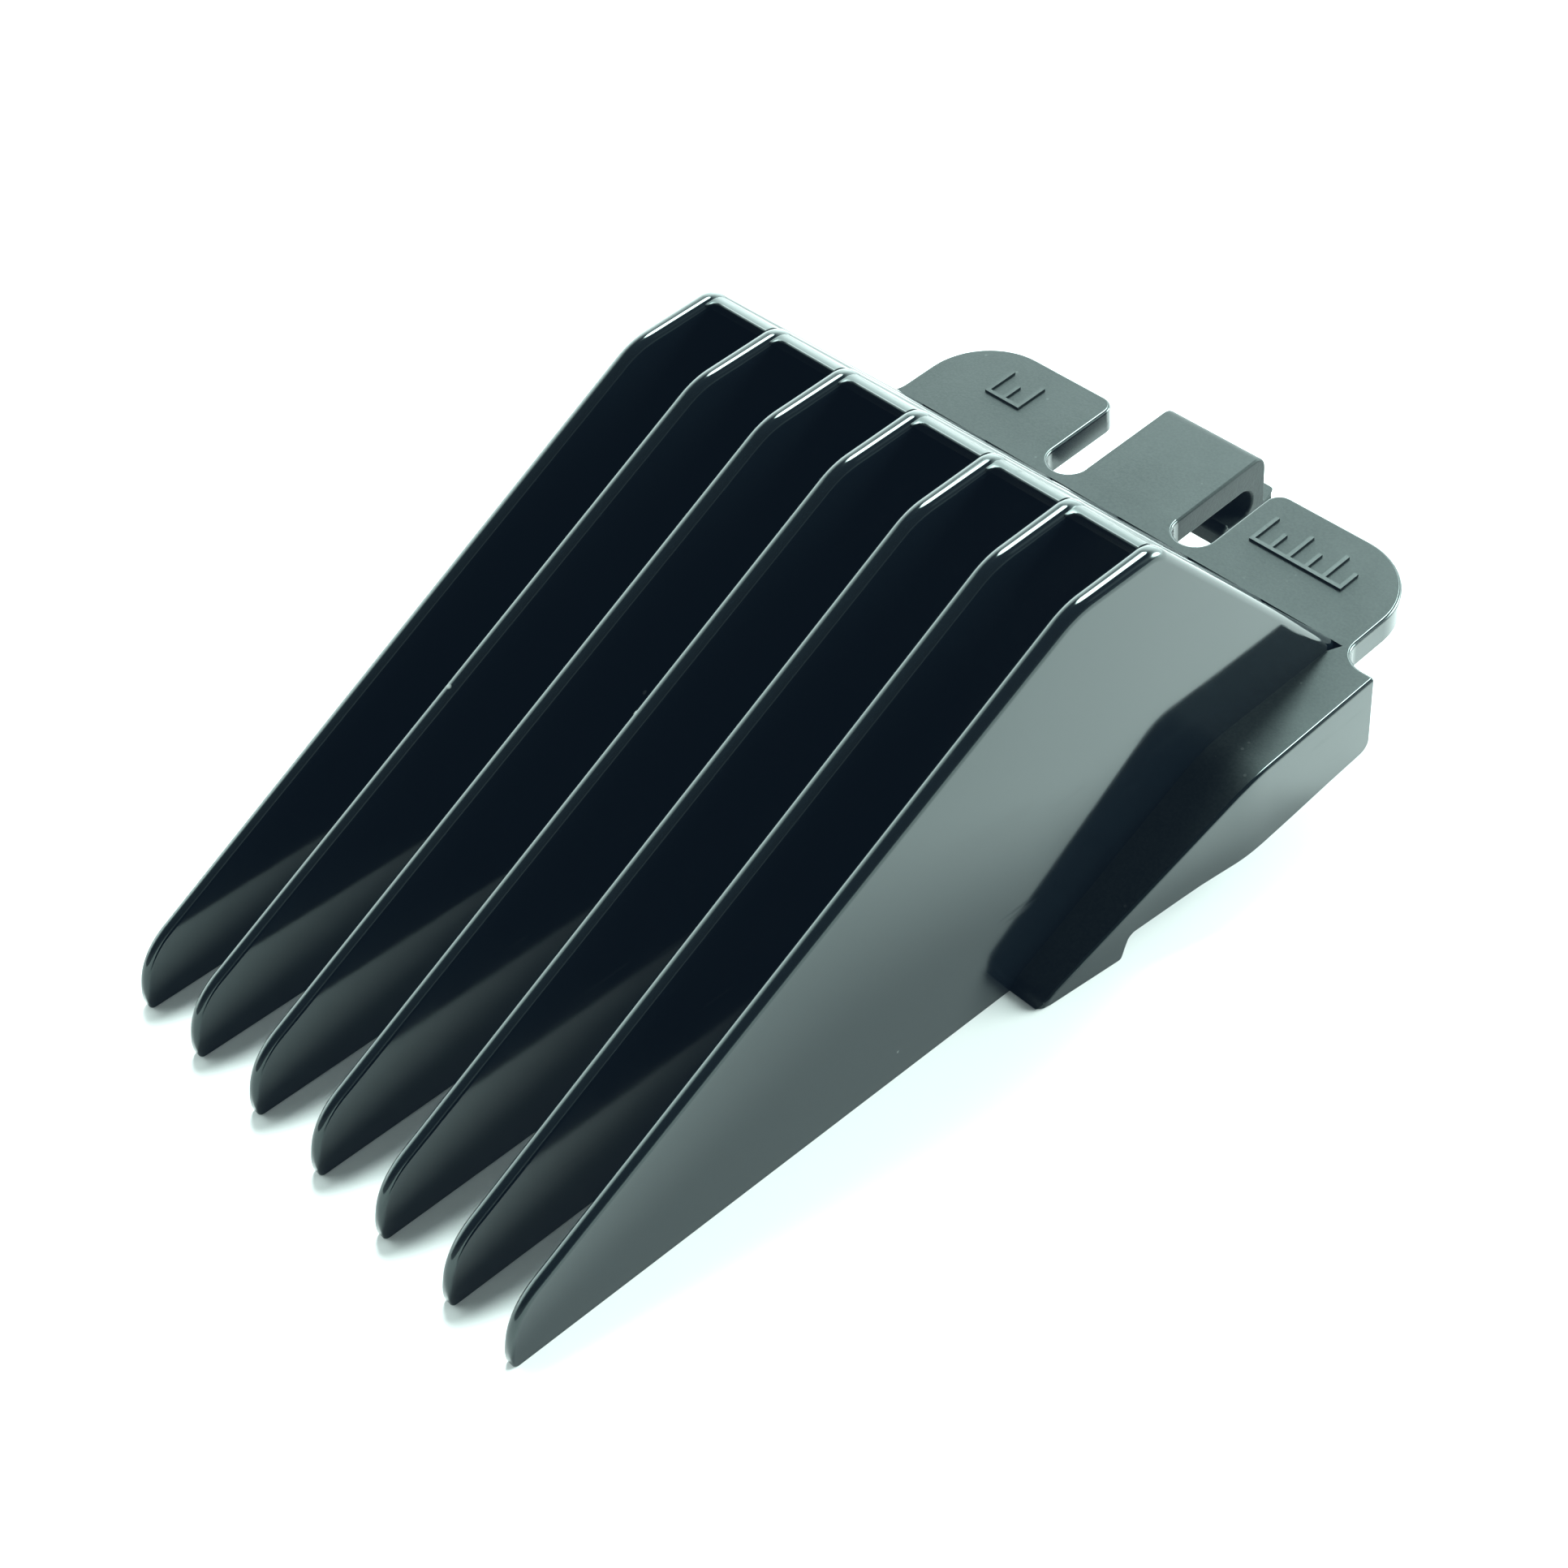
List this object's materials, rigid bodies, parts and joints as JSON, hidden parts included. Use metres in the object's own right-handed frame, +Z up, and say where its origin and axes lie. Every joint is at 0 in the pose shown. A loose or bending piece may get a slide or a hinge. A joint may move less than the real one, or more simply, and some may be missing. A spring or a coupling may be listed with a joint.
{
  "type": "clipper guide comb",
  "caption": "One-inch hair clipper guide comb: slanted blade-like teeth in front of a flat eared deck, a rail on each side and a sprung clip behind.",
  "frame": {"origin": "centre of the comb's bounding box, on the table plane under it", "axes": "+X across the comb, to the right as seen from the tooth tips, +Y from the tooth tips to the clip, +Z up; the comb lies on its tooth soles and two feet, so the deck leans 3.3 degrees, rising towards the clip"},
  "size_m": [0.0474, 0.083, 0.0283],
  "materials": {
    "polished_blade": "polished black moulding, mirror-like on the flat faces, with fine handling scratches",
    "polished_rail": "polished black moulding",
    "satin_deck": "fine spark-eroded texture, satin black",
    "satin_clip": "fine spark-eroded texture, satin black, smoother on the tab",
    "raised_marks": "smooth raised scale marks"
  },
  "bodies": {
    "comb": {"tooth_1": "polished_blade", "tooth_2": "polished_blade", "tooth_3": "polished_blade", "tooth_4": "polished_blade", "tooth_5": "polished_blade", "tooth_6": "polished_blade", "tooth_7": "polished_blade", "rear_wall_1": "polished_blade", "rear_wall_2": "polished_blade", "rear_wall_3": "polished_blade", "rear_wall_4": "polished_blade", "rear_wall_5": "polished_blade", "rear_wall_6": "polished_blade", "rear_deck": "satin_deck", "left_ear": "satin_deck", "right_ear": "satin_deck", "left_shelf": "satin_deck", "right_shelf": "satin_deck", "left_rail": "polished_rail", "right_rail": "polished_rail", "left_foot": "polished_rail", "right_foot": "polished_rail", "left_marks": "raised_marks", "right_marks": "raised_marks"},
    "clip": {"clip_arm": "satin_clip", "clip_bend": "satin_clip", "clip_leg": "satin_clip", "clip_catch": "satin_clip", "finger_tab": "satin_clip"}
  },
  "joints": [
    {"name": "clip_flex", "type": "hinge", "parent": "comb", "child": "clip", "pos_m": [0, 0.03119, 0.00904], "axis": [1, 0, 0], "range_deg": [-2, 8], "stiffness_Nm_per_rad": 0.3}
  ]
}
